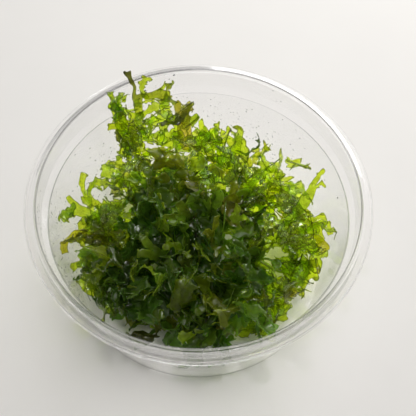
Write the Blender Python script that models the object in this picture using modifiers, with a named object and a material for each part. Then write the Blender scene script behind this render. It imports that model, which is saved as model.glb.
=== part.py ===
"""Pellia, a flat forked liverwort, as a tissue culture portion in its clear plastic cup.

The frame's origin is the middle of the cup's foot, +Z is up and -Y is the front.
The portion is a mound of tufts that rests on the cup's floor, close against each other.
Flat forked fronds stand out of the tufts all round, and the tallest passes over the lip.
"""

import math
import random

import bmesh
import bpy
from mathutils import Vector, noise
from mathutils.bvhtree import BVHTree

MM = 0.001

# The cup, a moulded bowl with a turned-down lip and a ledge for its lid.
CUP_HEIGHT = 40.0 * MM
LIP_RADIUS = 50.0 * MM
LIP_DROP = 3.6 * MM
LIP_TOP_WIDTH = 1.4 * MM
LIP_SLOPE = 1.9 * MM
LIP_ROUNDING = 0.35 * MM
MOUTH_RADIUS = 46.4 * MM
MOUTH_DRAFT = 0.8 * MM
LEDGE_RADIUS = 43.7 * MM
LEDGE_HEIGHT = 31.8 * MM
LEDGE_RISE = 1.7 * MM
LEDGE_ROUNDING = 0.8 * MM
FOOT_RADIUS = 38.4 * MM
FOOT_WIDTH = 3.6 * MM
FOOT_HEIGHT = 0.8 * MM
FOOT_DRAFT = 0.9 * MM
WALL = 0.8 * MM
FLOOR_TOP = FOOT_HEIGHT + WALL
FLOOR_STEP = 0.6 * MM
CHANNEL_HEIGHT = WALL + 0.1 * MM
CHANNEL_RADIUS = 37.6 * MM
CHANNEL_ROUNDING = 1.0 * MM
CUP_SIDES = 48

# The room that pieces keep from each other and from the cup.
GAP = 0.3 * MM
ROOT_GAP = 0.36 * MM
WALL_ROOM = 0.6 * MM

# The tufts: x and y of the middle, then top height and radius, in mm.
TUFTS = {
    "tuft_back_left": (-18, 28, 32, 10),
    "tuft_back": (-4, 23, 30, 12.5),
    "tuft_back_right": (13, 19, 27, 12),
    "tuft_right_back": (23.5, 10, 25, 10),
    "tuft_left": (-24, 1, 26, 10),
    "tuft_middle_left": (-12, 8, 29, 12.5),
    "tuft_middle": (3, 3, 29, 13),
    "tuft_middle_right": (16, -3, 27, 12),
    "tuft_right": (24, -5, 22, 9),
    "tuft_front_left": (-18, -12, 24, 12),
    "tuft_middle_front": (-4, -13, 26, 12.5),
    "tuft_front": (4, -21, 22, 11.5),
    "tuft_front_right": (16.5, -16.5, 21, 10.5),
}
RUFFLE_HEIGHT = 2.8 * MM
RUFFLE_SIZE = 7.0 * MM
SPREAD_ON_FLOOR = 1.3
TUFT_GAP = 0.4 * MM
FLAT_ANGLE = math.radians(4)
REACH_TOLERANCE = 0.01 * MM

# The short lobes that stand up on a tuft, each raised in steps of (height, widening, thinning).
LOBES_PER_TUFT = 9
LOBE_TRIES = 40
LOBE_LEVEL = 0.3
LOBE_LEAN = 0.4
LOBE_WANDER = 0.6
LOBE_STEPS = ((1.8 * MM, 1.15, 0.5), (2.2 * MM, 1.25, 0.85))

# The fronds that spring from the tufts by rule.
FROND_COUNT = 30
FROND_SEED = 2300
FROND_THICKNESS = 0.9 * MM
FROND_LENGTHS = (8.0, 13.0)
FROND_WIDTHS = (3.4, 5.2)
FROND_LEAN = 0.45
FROND_LIFT = 0.35
FROND_BEND = 0.35
FROND_FORK = 0.5
FORK_SPREAD = (0.5, 0.8)
ARM_LENGTHS = (0.4, 0.55)
FROND_RISE = (0.4, 1.0)
FROND_CLEARANCE = 4.0 * MM
HEART_HEIGHT = 10.0 * MM
ROOT_REACH = 14.0 * MM
RAY_STEP = 0.001 * MM
GOLDEN_ANGLE = math.pi * (3 - math.sqrt(5))

# The fronds that stand out one by one, in mm: a stem, then one or two arms, each with its widths
# at its two ends. The stem starts in the tuft that it grows from.
LONG_FRONDS = {
    "frond_tall": {
        "face": (0.2, -0.75, 0.6),
        "stem": [(-19.2, 31.6, 30.0), (-19.6, 34.8, 34.4), (-20.2, 37.2, 37.4)],
        "widths": (2.8, 3.8),
        "arms": [
            [(-20.8, 38.6, 39.4), (-21.3, 39.8, 41.2), (-22.3, 41.2, 42.6), (-23.2, 42.3, 43.5)],
            [(-17.0, 37.6, 37.2), (-13.6, 39.0, 36.8), (-9.6, 38.8, 35.6)],
        ],
        "arm_widths": [(2.2, 2.9), (3.2, 4.4)],
    },
    "frond_back_prong": {
        "face": (0.3, -0.6, 0.75),
        "stem": [(-24.0, 28.0, 30.0), (-25.2, 30.8, 34.0), (-25.6, 32.4, 36.4)],
        "widths": (3.8, 3.2),
        "arms": [[(-26.4, 33.4, 38.0), (-27.4, 34.0, 39.2)]],
        "arm_widths": [(2.0, 1.6)],
    },
    "frond_olive": {
        "face": (-0.2, -0.7, 0.7),
        "stem": [(-5.0, 29.0, 29.0), (-5.6, 32.6, 31.6), (-6.0, 35.0, 33.2)],
        "widths": (4.6, 5.4),
        "arms": [
            [(-7.6, 36.8, 34.2), (-8.6, 38.0, 33.8)],
            [(-3.8, 36.4, 34.4), (-2.6, 37.6, 34.0)],
        ],
        "arm_widths": [(3.0, 2.6), (3.6, 3.2)],
    },
    "frond_antler": {
        "face": (-0.1, -0.6, 0.8),
        "stem": [(-29.0, 4.6, 24.0), (-32.2, 6.0, 26.8), (-33.8, 7.0, 27.8)],
        "widths": (2.2, 2.8),
        "arms": [
            [(-35.0, 8.4, 28.3), (-35.6, 10.6, 29.4), (-34.8, 13.4, 31.0)],
            [(-33.0, 8.4, 29.2), (-32.2, 9.8, 30.6), (-30.8, 10.8, 31.4)],
        ],
        "arm_widths": [(1.7, 2.2), (1.4, 1.2)],
    },
    "frond_left_prong": {
        "face": (-0.2, -0.5, 0.85),
        "stem": [(-32.0, 1.4, 25.0), (-35.4, 2.6, 27.0), (-37.4, 2.8, 27.6)],
        "widths": (3.6, 3.4),
        "arms": [
            [(-38.6, 4.4, 28.0), (-39.6, 6.4, 28.6)],
            [(-39.2, 1.2, 27.0), (-40.4, -0.6, 26.4)],
        ],
        "arm_widths": [(2.0, 1.6), (3.0, 2.6)],
    },
    "frond_hook": {
        "face": (-0.2, -0.5, 0.85),
        "stem": [(-31.0, -4.6, 22.0), (-34.6, -5.8, 26.0), (-37.0, -6.4, 27.2)],
        "widths": (3.8, 3.2),
        "arms": [[(-38.4, -7.8, 26.8), (-39.2, -9.8, 26.0), (-39.0, -11.8, 24.8)]],
        "arm_widths": [(2.8, 2.2)],
    },
    "frond_small_hook": {
        "face": (-0.3, -0.5, 0.8),
        "stem": [(-29.0, -11.6, 16.0), (-33.2, -12.4, 20.6), (-35.0, -12.8, 21.2)],
        "widths": (2.0, 2.8),
        "arms": [[(-36.6, -13.0, 20.8), (-37.4, -14.2, 19.8)]],
        "arm_widths": [(2.6, 2.0)],
    },
    "frond_front_left": {
        "face": (-0.5, -0.4, 0.75),
        "stem": [(-23.0, -18.0, 15.0), (-27.0, -21.4, 17.4), (-28.4, -22.6, 16.8)],
        "widths": (3.2, 4.0),
        "arms": [[(-28.8, -23.4, 15.0), (-28.8, -23.8, 13.0)]],
        "arm_widths": [(3.6, 2.6)],
    },
    "frond_right": {
        "face": (0.1, -0.65, 0.75),
        "stem": [(31.0, 7.6, 23.0), (33.0, 9.8, 26.0), (34.4, 11.8, 28.0)],
        "widths": (3.8, 3.4),
        "arms": [
            [(35.4, 13.6, 29.6), (36.4, 14.8, 30.8), (37.8, 15.6, 31.8)],
            [(36.6, 12.2, 29.0), (38.2, 11.4, 29.4)],
        ],
        "arm_widths": [(2.0, 1.7), (1.4, 1.1)],
    },
    "frond_right_arch": {
        "face": (0.1, -0.5, 0.85),
        "stem": [(30.0, 0.0, 18.0), (34.6, 1.2, 22.0), (36.8, 1.8, 24.2)],
        "widths": (1.6, 2.4),
        "arms": [[(38.4, 1.0, 24.8), (39.4, -0.8, 24.0), (39.7, -2.4, 22.8)]],
        "arm_widths": [(2.2, 1.5)],
    },
    "frond_right_low": {
        "face": (0.35, -0.5, 0.8),
        "stem": [(31.0, -3.4, 17.0), (34.4, -2.6, 20.0), (36.2, -2.8, 21.0)],
        "widths": (4.4, 5.0),
        "arms": [[(37.6, -4.4, 20.6), (38.4, -6.2, 19.6)]],
        "arm_widths": [(5.0, 3.8)],
    },
    "frond_right_hook": {
        "face": (0.35, -0.5, 0.8),
        "stem": [(31.0, -8.8, 14.0), (34.4, -8.4, 16.8), (36.4, -8.6, 17.2)],
        "widths": (2.8, 2.2),
        "arms": [[(37.0, -10.0, 16.4), (36.4, -11.2, 15.0)]],
        "arm_widths": [(1.8, 1.4)],
    },
    "frond_front_point": {
        "face": (0.3, -0.5, 0.8),
        "stem": [(26.0, -9.0, 17.0), (29.4, -11.8, 18.0), (30.6, -13.2, 17.6)],
        "widths": (4.8, 3.6),
        "arms": [[(31.4, -14.6, 16.6), (32.0, -15.8, 15.4)]],
        "arm_widths": [(2.6, 1.4)],
    },
    "frond_square": {
        "face": (0.4, -0.35, 0.85),
        "stem": [(21.6, -13.6, 18.4), (25.4, -17.0, 20.6), (26.6, -19.0, 20.2)],
        "widths": (2.2, 4.6),
        "arms": [[(27.3, -20.4, 18.2), (27.4, -21.0, 15.8)]],
        "arm_widths": [(5.0, 5.2)],
    },
}

GREEN = (0.09, 0.2, 0.02, 1.0)
BRIGHT_GREEN = (0.3, 0.48, 0.04, 1.0)
CLEAR = (0.93, 0.95, 0.95, 1.0)


def clear_scene():
    for obj in list(bpy.data.objects):
        bpy.data.objects.remove(obj, do_unlink=True)


def make_material(name, colour, roughness, transmission=0.0):
    material = bpy.data.materials.new(name)
    material.use_nodes = True
    shader = material.node_tree.nodes["Principled BSDF"]
    shader.inputs["Base Color"].default_value = colour
    shader.inputs["Roughness"].default_value = roughness
    shader.inputs["Transmission Weight"].default_value = transmission
    return material


def add_object(name, mesh, material, collection):
    obj = bpy.data.objects.new(name, mesh)
    obj.data.materials.append(material)
    collection.objects.link(obj)
    return obj


def mesh_of(name, shape):
    mesh = bpy.data.meshes.new(name)
    shape.to_mesh(mesh)
    return mesh


def rounded_path(corners, steps=2):
    """The path through (radius, height, rounding) corners, each corner an arc of its own radius."""
    path = []
    for i, (radius, height, rounding) in enumerate(corners):
        here = Vector((radius, height))
        if rounding == 0:
            path.append(here)
            continue
        before = (Vector(corners[i - 1][:2]) - here).normalized()
        after = (Vector(corners[i + 1][:2]) - here).normalized()
        half_turn = before.angle(after) / 2
        centre = here + (before + after).normalized() * rounding / math.sin(half_turn)
        start = here + before * rounding / math.tan(half_turn) - centre
        end = here + after * rounding / math.tan(half_turn) - centre
        for k in range(steps + 1):
            path.append(centre + start.lerp(end, k / steps).normalized() * rounding)
    return path


def cup_corners():
    """The cup's section, from the middle of its floor up the inside, and down the outside to its foot."""
    foot_inside = FOOT_RADIUS - FOOT_WIDTH
    lip_foot = CUP_HEIGHT - LIP_DROP
    lip_inside = LIP_RADIUS - WALL
    return [
        (0, FLOOR_TOP, 0),
        (foot_inside - WALL, FLOOR_TOP, 0),
        (foot_inside + FLOOR_STEP, CHANNEL_HEIGHT, 0),
        (CHANNEL_RADIUS, CHANNEL_HEIGHT, CHANNEL_ROUNDING),
        (LEDGE_RADIUS, LEDGE_HEIGHT, 0),
        (MOUTH_RADIUS - MOUTH_DRAFT, LEDGE_HEIGHT + LEDGE_RISE, LEDGE_ROUNDING),
        (MOUTH_RADIUS, CUP_HEIGHT, LIP_ROUNDING),
        (MOUTH_RADIUS + LIP_TOP_WIDTH, CUP_HEIGHT, LIP_ROUNDING),
        (LIP_RADIUS, CUP_HEIGHT - LIP_SLOPE, LIP_ROUNDING),
        (LIP_RADIUS, lip_foot, 0),
        (lip_inside, lip_foot, 0),
        (lip_inside, lip_foot + LIP_SLOPE / 2, 0),
        (MOUTH_RADIUS + WALL, lip_foot + LIP_SLOPE, 0),
        (MOUTH_RADIUS, LEDGE_HEIGHT + LEDGE_RISE / 2, 0),
        (LEDGE_RADIUS + WALL, LEDGE_HEIGHT - LEDGE_RISE / 2, 0),
        (FOOT_RADIUS + FOOT_DRAFT, CHANNEL_HEIGHT, 0),
        (FOOT_RADIUS, 0, 0),
        (foot_inside, 0, 0),
        (foot_inside - WALL, FOOT_HEIGHT, 0),
        (0, FOOT_HEIGHT, 0),
    ]


def make_cup(material, collection):
    points = [(point.x, 0, point.y) for point in rounded_path(cup_corners())]
    mesh = bpy.data.meshes.new("cup")
    mesh.from_pydata(points, [(i, i + 1) for i in range(len(points) - 1)], [])
    cup = add_object("cup", mesh, material, collection)
    screw = cup.modifiers.new("Screw", "SCREW")
    screw.axis = "Z"
    screw.steps = CUP_SIDES
    screw.render_steps = CUP_SIDES
    screw.use_merge_vertices = True
    screw.merge_threshold = 0.00001


def wall_radius(height):
    """The radius of the cup's inside at a height."""
    ledge_top = LEDGE_HEIGHT + LEDGE_RISE
    above_ledge = MOUTH_RADIUS - MOUTH_DRAFT
    if height > ledge_top:
        share = (height - ledge_top) / (CUP_HEIGHT - ledge_top)
        return above_ledge + (MOUTH_RADIUS - above_ledge) * min(share, 1)
    if height > LEDGE_HEIGHT:
        return LEDGE_RADIUS + (above_ledge - LEDGE_RADIUS) * (height - LEDGE_HEIGHT) / LEDGE_RISE
    share = max(height - CHANNEL_HEIGHT, 0) / (LEDGE_HEIGHT - CHANNEL_HEIGHT)
    return CHANNEL_RADIUS + (LEDGE_RADIUS - CHANNEL_RADIUS) * share


def in_cup(point, room):
    """Whether a point keeps that much room from the cup's wall and floor, or is above the cup."""
    if point.z > CUP_HEIGHT + room:
        return True
    return point.z > FLOOR_TOP + room and math.hypot(point.x, point.y) < wall_radius(point.z) - room


def tuft_ball(name):
    """The middle and the radius of a tuft before it is ruffled."""
    x, y, top, radius = TUFTS[name]
    return Vector((x, y, top - radius)) * MM, radius * MM


def meeting_planes(name):
    """Where a tuft meets each of the others: the way there, and how far the tuft goes that way."""
    centre, radius = tuft_ball(name)
    planes = []
    for other in TUFTS:
        if other == name:
            continue
        far_centre, far_radius = tuft_ball(other)
        across = far_centre - centre
        share = 0.5 + (radius**2 - far_radius**2) / (2 * across.length_squared)
        planes.append((across.normalized(), across.length * share - TUFT_GAP / 2))
    return planes


def tuft_reach(centre, radius, way, planes):
    """How far a tuft goes from its middle, ruffled where it is free and flat where it meets something."""
    stretch = 1.0
    if way.z < 0:
        down = SPREAD_ON_FLOOR * (centre.z - FLOOR_TOP) / radius
        stretch = math.sqrt(way.x**2 + way.y**2 + (way.z * down) ** 2)
    ridge = 0.5 - abs(noise.noise((centre + way * radius) / RUFFLE_SIZE)) * 2
    reach = radius * stretch + ridge * RUFFLE_HEIGHT
    for normal, distance in planes:
        if way.dot(normal) > 0:
            reach = min(reach, distance / way.dot(normal))
    inside = 0.0
    while not in_cup(centre + way * reach, WALL_ROOM) and reach - inside > REACH_TOLERANCE:
        halfway = (inside + reach) / 2
        if in_cup(centre + way * halfway, WALL_ROOM):
            inside = halfway
        else:
            reach = halfway
    return reach


def make_tuft(name):
    """One tuft: a ball of ruffles let down to the floor, with flat sides where it meets the next tufts."""
    centre, radius = tuft_ball(name)
    planes = meeting_planes(name)
    shape = bmesh.new()
    bmesh.ops.create_icosphere(shape, subdivisions=3, radius=1)
    for vert in shape.verts:
        way = vert.co.normalized()
        vert.co = centre + way * tuft_reach(centre, radius, way, planes)
    bmesh.ops.dissolve_limit(
        shape, angle_limit=FLAT_ANGLE, verts=shape.verts, edges=shape.edges, delimit=set()
    )
    bmesh.ops.triangulate(shape, faces=shape.faces)
    return shape


def random_way(draw):
    return Vector([draw.uniform(-1, 1) for _ in range(3)])


def raise_lobe(shape, face, draw):
    """Draws a face and its neighbour out of a tuft as a flat lobe, and returns the lobe's verts."""
    seam = max(face.edges, key=lambda edge: edge.calc_length())
    region = list(seam.link_faces)
    along = (seam.verts[1].co - seam.verts[0].co).normalized()
    outward = (region[0].normal + region[1].normal).normalized()
    outward = (outward + random_way(draw) * LOBE_LEAN).normalized()
    across = outward.cross(along).normalized()
    raised = []
    for height, widening, thinning in LOBE_STEPS:
        made = bmesh.ops.extrude_face_region(shape, geom=region)["geom"]
        bmesh.ops.delete(shape, geom=[part for part in region if part.is_valid], context="FACES")
        region = [item for item in made if isinstance(item, bmesh.types.BMFace)]
        rim = [item for item in made if isinstance(item, bmesh.types.BMVert)]
        middle = sum((vert.co for vert in rim), Vector()) / len(rim)
        for vert in rim:
            spoke = vert.co - middle
            wide = along * spoke.dot(along) * widening + across * spoke.dot(across) * thinning
            vert.co = middle + wide + outward * (spoke.dot(outward) * LOBE_LEVEL + height)
        raised += rim
    return raised


def lobe_places(shape, draw):
    """The faces of a tuft that point in directions spread over its open side."""
    shape.faces.ensure_lookup_table()
    for i in range(LOBE_TRIES):
        rise = math.sin(math.pi / 2 * (i + 0.5) / LOBE_TRIES)
        turn = i * GOLDEN_ANGLE + draw.uniform(0, LOBE_WANDER)
        level = math.sqrt(1 - rise**2)
        way = Vector((math.cos(turn) * level, math.sin(turn) * level, rise))
        yield max(range(len(shape.faces)), key=lambda k: shape.faces[k].normal.dot(way))


def add_lobes(name, shape, others):
    """Raises lobes on a tuft where they find room. Each stands a face away from the one before."""
    draw = random.Random(name)
    used = set()
    made = 0
    for place in list(lobe_places(shape, draw)):
        shape.faces.ensure_lookup_table()
        around = {v.index for edge in shape.faces[place].edges for f in edge.link_faces for v in f.verts}
        if made == LOBES_PER_TUFT or used & around:
            continue
        trial = shape.copy()
        trial.faces.ensure_lookup_table()
        raised = raise_lobe(trial, trial.faces[place], draw)
        trial.normal_update()
        lobe = bmesh.new()
        sides = {face for vert in raised for face in vert.link_faces}
        for face in sides:
            lobe.faces.new([lobe.verts.new(vert.co) for vert in face.verts])
        free = inside_cup(lobe) and not touches(lobe, others)
        free = free and all(edge.is_manifold for edge in trial.edges)
        lobe.free()
        if free:
            used |= around
            made += 1
            shape = trial
    return shape


def next_row(shape, row):
    """Extrudes a row of verts once, and returns the new row in the same order."""
    edges = [shape.edges.get((a, b)) for a, b in zip(row, row[1:])]
    made = bmesh.ops.extrude_edge_only(shape, edges=edges)
    new = {item for item in made["geom"] if isinstance(item, bmesh.types.BMVert)}
    return [next(e.other_vert(v) for e in v.link_edges if e.other_vert(v) in new) for v in row]


def lay_row(row, centre, forward, face, width):
    """Sets a row of verts straight across a ribbon."""
    side = forward.cross(face).normalized()
    for i, vert in enumerate(row):
        vert.co = centre + side * (i / (len(row) - 1) - 0.5) * width


def grow_arm(shape, row, before, arm, widths, face):
    for i, centre in enumerate(arm):
        row = next_row(shape, row)
        after = arm[min(i + 1, len(arm) - 1)]
        share = i / (len(arm) - 1)
        lay_row(row, centre, after - before, face, widths[0] + (widths[1] - widths[0]) * share)
        before = centre


def grow_frond(frond, thickness):
    """A frond's plate and the verts of its foot: a stem that goes on as one arm, or forks into two."""
    shape = bmesh.new()
    face = Vector(frond["face"]).normalized()
    stem = [Vector(point) * MM for point in frond["stem"]]
    arms = [[Vector(point) * MM for point in arm] for arm in frond["arms"]]
    widths = [width * MM for width in frond["widths"]]
    arm_widths = [[width * MM for width in pair] for pair in frond["arm_widths"]]
    row = [shape.verts.new((i * MM, 0, 0)) for i in range(3)]
    for a, b in zip(row, row[1:]):
        shape.edges.new((a, b))
    lay_row(row, stem[0], stem[1] - stem[0], face, widths[0])
    foot_places = [vert.co.copy() for vert in row]
    row = next_row(shape, row)
    lay_row(row, stem[1], stem[2] - stem[0], face, sum(widths) / 2)
    row = next_row(shape, row)
    lay_row(row, stem[2], stem[2] - stem[1], face, widths[1])
    if len(arms) == 1:
        grow_arm(shape, row, stem[2], arms[0], arm_widths[0], face)
    else:
        side = (stem[2] - stem[1]).cross(face)
        order = sorted(range(2), key=lambda k: (arms[k][-1] - stem[2]).dot(side))
        for half, k in zip((row[:2], row[1:]), order):
            grow_arm(shape, half, stem[2], arms[k], arm_widths[k], face)
    bmesh.ops.recalc_face_normals(shape, faces=shape.faces)
    bmesh.ops.solidify(shape, geom=shape.faces[:], thickness=thickness)
    bmesh.ops.recalc_face_normals(shape, faces=shape.faces)
    foot = [v for v in shape.verts if min((v.co - p).length for p in foot_places) < thickness + GAP]
    return shape, foot


def first_hit(trees, start, way, reach):
    """Where a ray first meets any of the surfaces, with the normal there, or None."""
    hits = [tree.ray_cast(start, way, reach) for tree in trees]
    hits = [hit for hit in hits if hit[0] is not None]
    return min(hits, key=lambda hit: hit[3])[:2] if hits else None


def plant(foot, stem, mound):
    """Ends a frond's foot a gap above the tuft that it grows from. False where no tuft is under it."""
    first, second = (Vector(point) * MM for point in stem[:2])
    way = (second - first).normalized()
    for vert in foot:
        hit = first_hit(mound, vert.co + (second - first), -way, ROOT_REACH)
        if hit is None:
            return False
        vert.co = hit[0] + way * ROOT_GAP
    return True


def random_frond(root, outward, draw):
    """A forked frond in mm that grows from root, more or less outward and up."""
    length = draw.uniform(*FROND_LENGTHS)
    width = draw.uniform(*FROND_WIDTHS)
    along = (outward + random_way(draw) * FROND_LEAN + Vector((0, 0, FROND_LIFT))).normalized()
    face = along.cross(random_way(draw)).normalized()
    side = along.cross(face).normalized()
    bend = face * draw.uniform(-FROND_BEND, FROND_BEND)
    start = root / MM
    fork = start + (along + bend * FROND_BEND) * length * FROND_FORK
    arms = []
    for sign in (-1, 1):
        way = (along + side * sign * draw.uniform(*FORK_SPREAD) + bend).normalized()
        reach = length * draw.uniform(*ARM_LENGTHS)
        arms.append([fork + way * reach * share + bend * reach * share**2 for share in (0.55, 1)])
    return {
        "face": face,
        "stem": [start, start.lerp(fork, 0.6), fork],
        "widths": (width * 0.8, width),
        "arms": arms,
        "arm_widths": [(width * 0.65, width * 0.6)] * 2,
    }


def inside_cup(shape):
    return all(in_cup(vert.co, GAP) for vert in shape.verts)


def touches(shape, trees):
    own = BVHTree.FromBMesh(shape)
    return any(own.overlap(tree) for tree in trees)


def runs_through_itself(shape):
    """Whether just in front of some face of a closed shape is inside the shape, counted along a ray."""
    shape.normal_update()
    tree = BVHTree.FromBMesh(shape)
    for face in shape.faces:
        way = face.normal.copy()
        start = face.calc_center_median() + way * RAY_STEP
        depth = 0
        place, normal = tree.ray_cast(start, way)[:2]
        while place is not None:
            depth += 1 if normal.dot(way) > 0 else -1
            place, normal = tree.ray_cast(place + way * RAY_STEP, way)[:2]
        if depth != 0:
            return True
    return False


def add_frond(name, frond, mound, fronds, material, collection):
    """Makes the frond, unless it finds no tuft under its foot or no room, or runs through itself."""
    room, room_foot = grow_frond(frond, FROND_THICKNESS + 2 * GAP)
    shape, foot = grow_frond(frond, FROND_THICKNESS)
    rooted = plant(room_foot, frond["stem"], mound) and plant(foot, frond["stem"], mound)
    bmesh.ops.triangulate(shape, faces=shape.faces)
    good = rooted and not runs_through_itself(shape) and inside_cup(shape)
    good = good and not touches(shape, mound) and not touches(room, fronds)
    if good:
        fronds.append(BVHTree.FromBMesh(room))
        add_object(name, mesh_of(name, shape), material, collection)
    shape.free()
    room.free()
    return good


def make_fronds(mound, material, collection):
    """The fronds that stand out one by one, then the others over the whole mound."""
    fronds = []
    for name, frond in LONG_FRONDS.items():
        if not add_frond(name, frond, mound, fronds, material, collection):
            raise RuntimeError(f"{name} has no tuft under it, or touches itself, a neighbour or the cup")
    heart = Vector((0, 0, HEART_HEIGHT))
    made = 0
    step = 0
    while made < FROND_COUNT:
        step += 1
        draw = random.Random(FROND_SEED + step)
        bearing = step * GOLDEN_ANGLE
        rise = math.asin(draw.uniform(*FROND_RISE))
        level = math.cos(rise)
        way = Vector((math.cos(bearing) * level, math.sin(bearing) * level, math.sin(rise)))
        hit = first_hit(mound, heart + way * LIP_RADIUS, -way, LIP_RADIUS)
        if hit is None or hit[0].z < FLOOR_TOP + FROND_CLEARANCE:
            continue
        frond = random_frond(hit[0], (hit[1] + way).normalized(), draw)
        name = f"frond_{made + 1:02d}"
        made += add_frond(name, frond, mound, fronds, material, collection)
    return fronds


def make_pellia(old_green, new_green, collection):
    """The fronds grow from the bare tufts, and lobes fill the room that is left between them."""
    shapes = {name: make_tuft(name) for name in TUFTS}
    surfaces = {name: BVHTree.FromBMesh(shape) for name, shape in shapes.items()}
    fronds = make_fronds(list(surfaces.values()), new_green, collection)
    for name, shape in shapes.items():
        others = fronds + [surfaces[other] for other in TUFTS if other != name]
        shape = add_lobes(name, shape, others)
        surfaces[name] = BVHTree.FromBMesh(shape)
        bmesh.ops.triangulate(shape, faces=shape.faces)
        add_object(name, mesh_of(name, shape), old_green, collection)


def main():
    clear_scene()
    collection = bpy.data.collections.new("pellia_in_cup")
    bpy.context.scene.collection.children.link(collection)
    plastic = make_material("clear_plastic", CLEAR, 0.05, 0.9)
    old_green = make_material("pellia_green", GREEN, 0.35)
    new_green = make_material("pellia_bright_green", BRIGHT_GREEN, 0.3)
    make_cup(plastic, collection)
    make_pellia(old_green, new_green, collection)


main()
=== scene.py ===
import math
import random

import bmesh
import bpy
from mathutils import Matrix, Quaternion, Vector, noise
from mathutils.bvhtree import BVHTree


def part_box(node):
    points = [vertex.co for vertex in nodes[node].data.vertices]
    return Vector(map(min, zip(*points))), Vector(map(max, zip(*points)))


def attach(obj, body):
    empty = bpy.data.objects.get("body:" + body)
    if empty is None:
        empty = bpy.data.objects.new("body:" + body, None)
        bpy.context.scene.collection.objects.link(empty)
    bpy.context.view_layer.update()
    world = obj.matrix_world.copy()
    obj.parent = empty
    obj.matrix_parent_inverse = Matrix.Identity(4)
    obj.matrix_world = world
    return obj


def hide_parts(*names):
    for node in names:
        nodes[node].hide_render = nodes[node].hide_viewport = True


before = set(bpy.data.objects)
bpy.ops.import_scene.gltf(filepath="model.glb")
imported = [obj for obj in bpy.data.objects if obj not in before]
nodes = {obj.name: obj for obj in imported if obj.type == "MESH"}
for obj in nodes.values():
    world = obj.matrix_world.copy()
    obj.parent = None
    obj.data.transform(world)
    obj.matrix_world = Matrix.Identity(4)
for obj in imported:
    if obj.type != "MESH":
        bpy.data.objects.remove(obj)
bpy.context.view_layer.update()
mm = 0.001
goldenAngle = math.pi * (3 - math.sqrt(5))


def smoothStep(low, high, value):
    share = min(max((value - low) / (high - low), 0), 1)
    return share * share * (3 - 2 * share)


# Turns a bmesh into a piece of the object that rides on the root body.
def finishPiece(name, shape, materials, replaced=()):
    mesh = bpy.data.meshes.new(name)
    shape.to_mesh(mesh)
    shape.free()
    for material in materials:
        mesh.materials.append(material)
    piece = bpy.data.objects.new(name, mesh)
    bpy.context.scene.collection.objects.link(piece)
    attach(piece, "root")
    if replaced:
        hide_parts(*replaced)
    return piece


# Materials

finish = {
    "darkGreen": (0.155, 0.320, 0.035),
    "midGreen": (0.400, 0.610, 0.024),
    "lime": (0.690, 0.840, 0.028),
    "yellow": (0.640, 0.620, 0.020),
    "olive": (0.430, 0.420, 0.025),
    "darkOlive": (0.120, 0.130, 0.012),
    "amber": (0.740, 0.640, 0.060),
    "brown": (0.130, 0.090, 0.018),
    "plastic": (0.990, 0.987, 0.990),
    "floor": (0.865, 0.845, 0.815),
    "crumb": (0.02, 0.018, 0.015),
}
tissue = {
    # Broad patches of lighter and darker tissue, and how much they darken and lighten it
    "patches": {"Scale": 420, "Detail": 6, "Roughness": 0.72},
    "patchRange": ((0.3, 0.7), (0.65, 1.3)),
    # Where a blade's margin begins, as a share of the way from its middle to its edge; there the colour gets
    # a painted rim, a painted highlight on old thalli and painted shade on new ones
    "margin": (0.76, 0.96),
    "cells": {"Scale": 2400},
    "wrinkles": {"Scale": 900, "Detail": 4},
    # The relief is rough in some places and nearly smooth in others
    "roughPatches": {"Scale": 170, "Detail": 2},
    "roughRange": (0.4, 0.62),
    "smoothest": 0.15,
    "bumpDepth": 0.3 * mm,
    "gloss": (0.02, 0.22),
}
fog = {"patches": {"Scale": 45, "Detail": 5, "Roughness": 0.65}, "range": (0.42, 0.68)}
matt = {"detail": 4, "darkest": 0.96, "bumpDepth": 0.1 * mm}


# Sets an input to a value, or links it to another node's output.
def setInput(socket, value):
    if isinstance(value, bpy.types.NodeSocket):
        socket.id_data.links.new(value, socket)
    else:
        socket.default_value = value


# A node with some of its properties and inputs set.
def addNode(tree, kind, **values):
    node = tree.nodes.new(kind)
    for name, value in values.items():
        if name in node.inputs:
            setInput(node.inputs[name], value)
        else:
            setattr(node, name, value)
    return node


def addNoise(tree, **values):
    place = addNode(tree, "ShaderNodeTexCoord").outputs["Object"]
    return addNode(tree, "ShaderNodeTexNoise", Vector=place, **values).outputs["Fac"]


# Maps a value from the range before to the range after.
def addRange(tree, value, before, after, **values):
    node = addNode(tree, "ShaderNodeMapRange", **values)
    names = ("Value", "From Min", "From Max", "To Min", "To Max")
    for name, given in zip(names, (value, *before, *after)):
        setInput(node.inputs[name], given)
    return node.outputs["Result"]


def addMath(tree, operation, first, second):
    node = addNode(tree, "ShaderNodeMath", operation=operation)
    setInput(node.inputs[0], first)
    setInput(node.inputs[1], second)
    return node.outputs[0]


def addMix(tree, kind, share, first, second, **values):
    node = addNode(tree, "ShaderNodeMix", data_type=kind, Factor=share, A=first, B=second, **values)
    return node.outputs["Result"]


def mixShaders(tree, share, first, second):
    mix = addNode(tree, "ShaderNodeMixShader", Fac=share)
    setInput(mix.inputs[1], first.outputs[0])
    setInput(mix.inputs[2], second.outputs[0])
    return mix


def makeMaterial(name):
    material = bpy.data.materials.new(name)
    material.use_nodes = True
    return material, material.node_tree, material.node_tree.nodes["Principled BSDF"]
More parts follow.
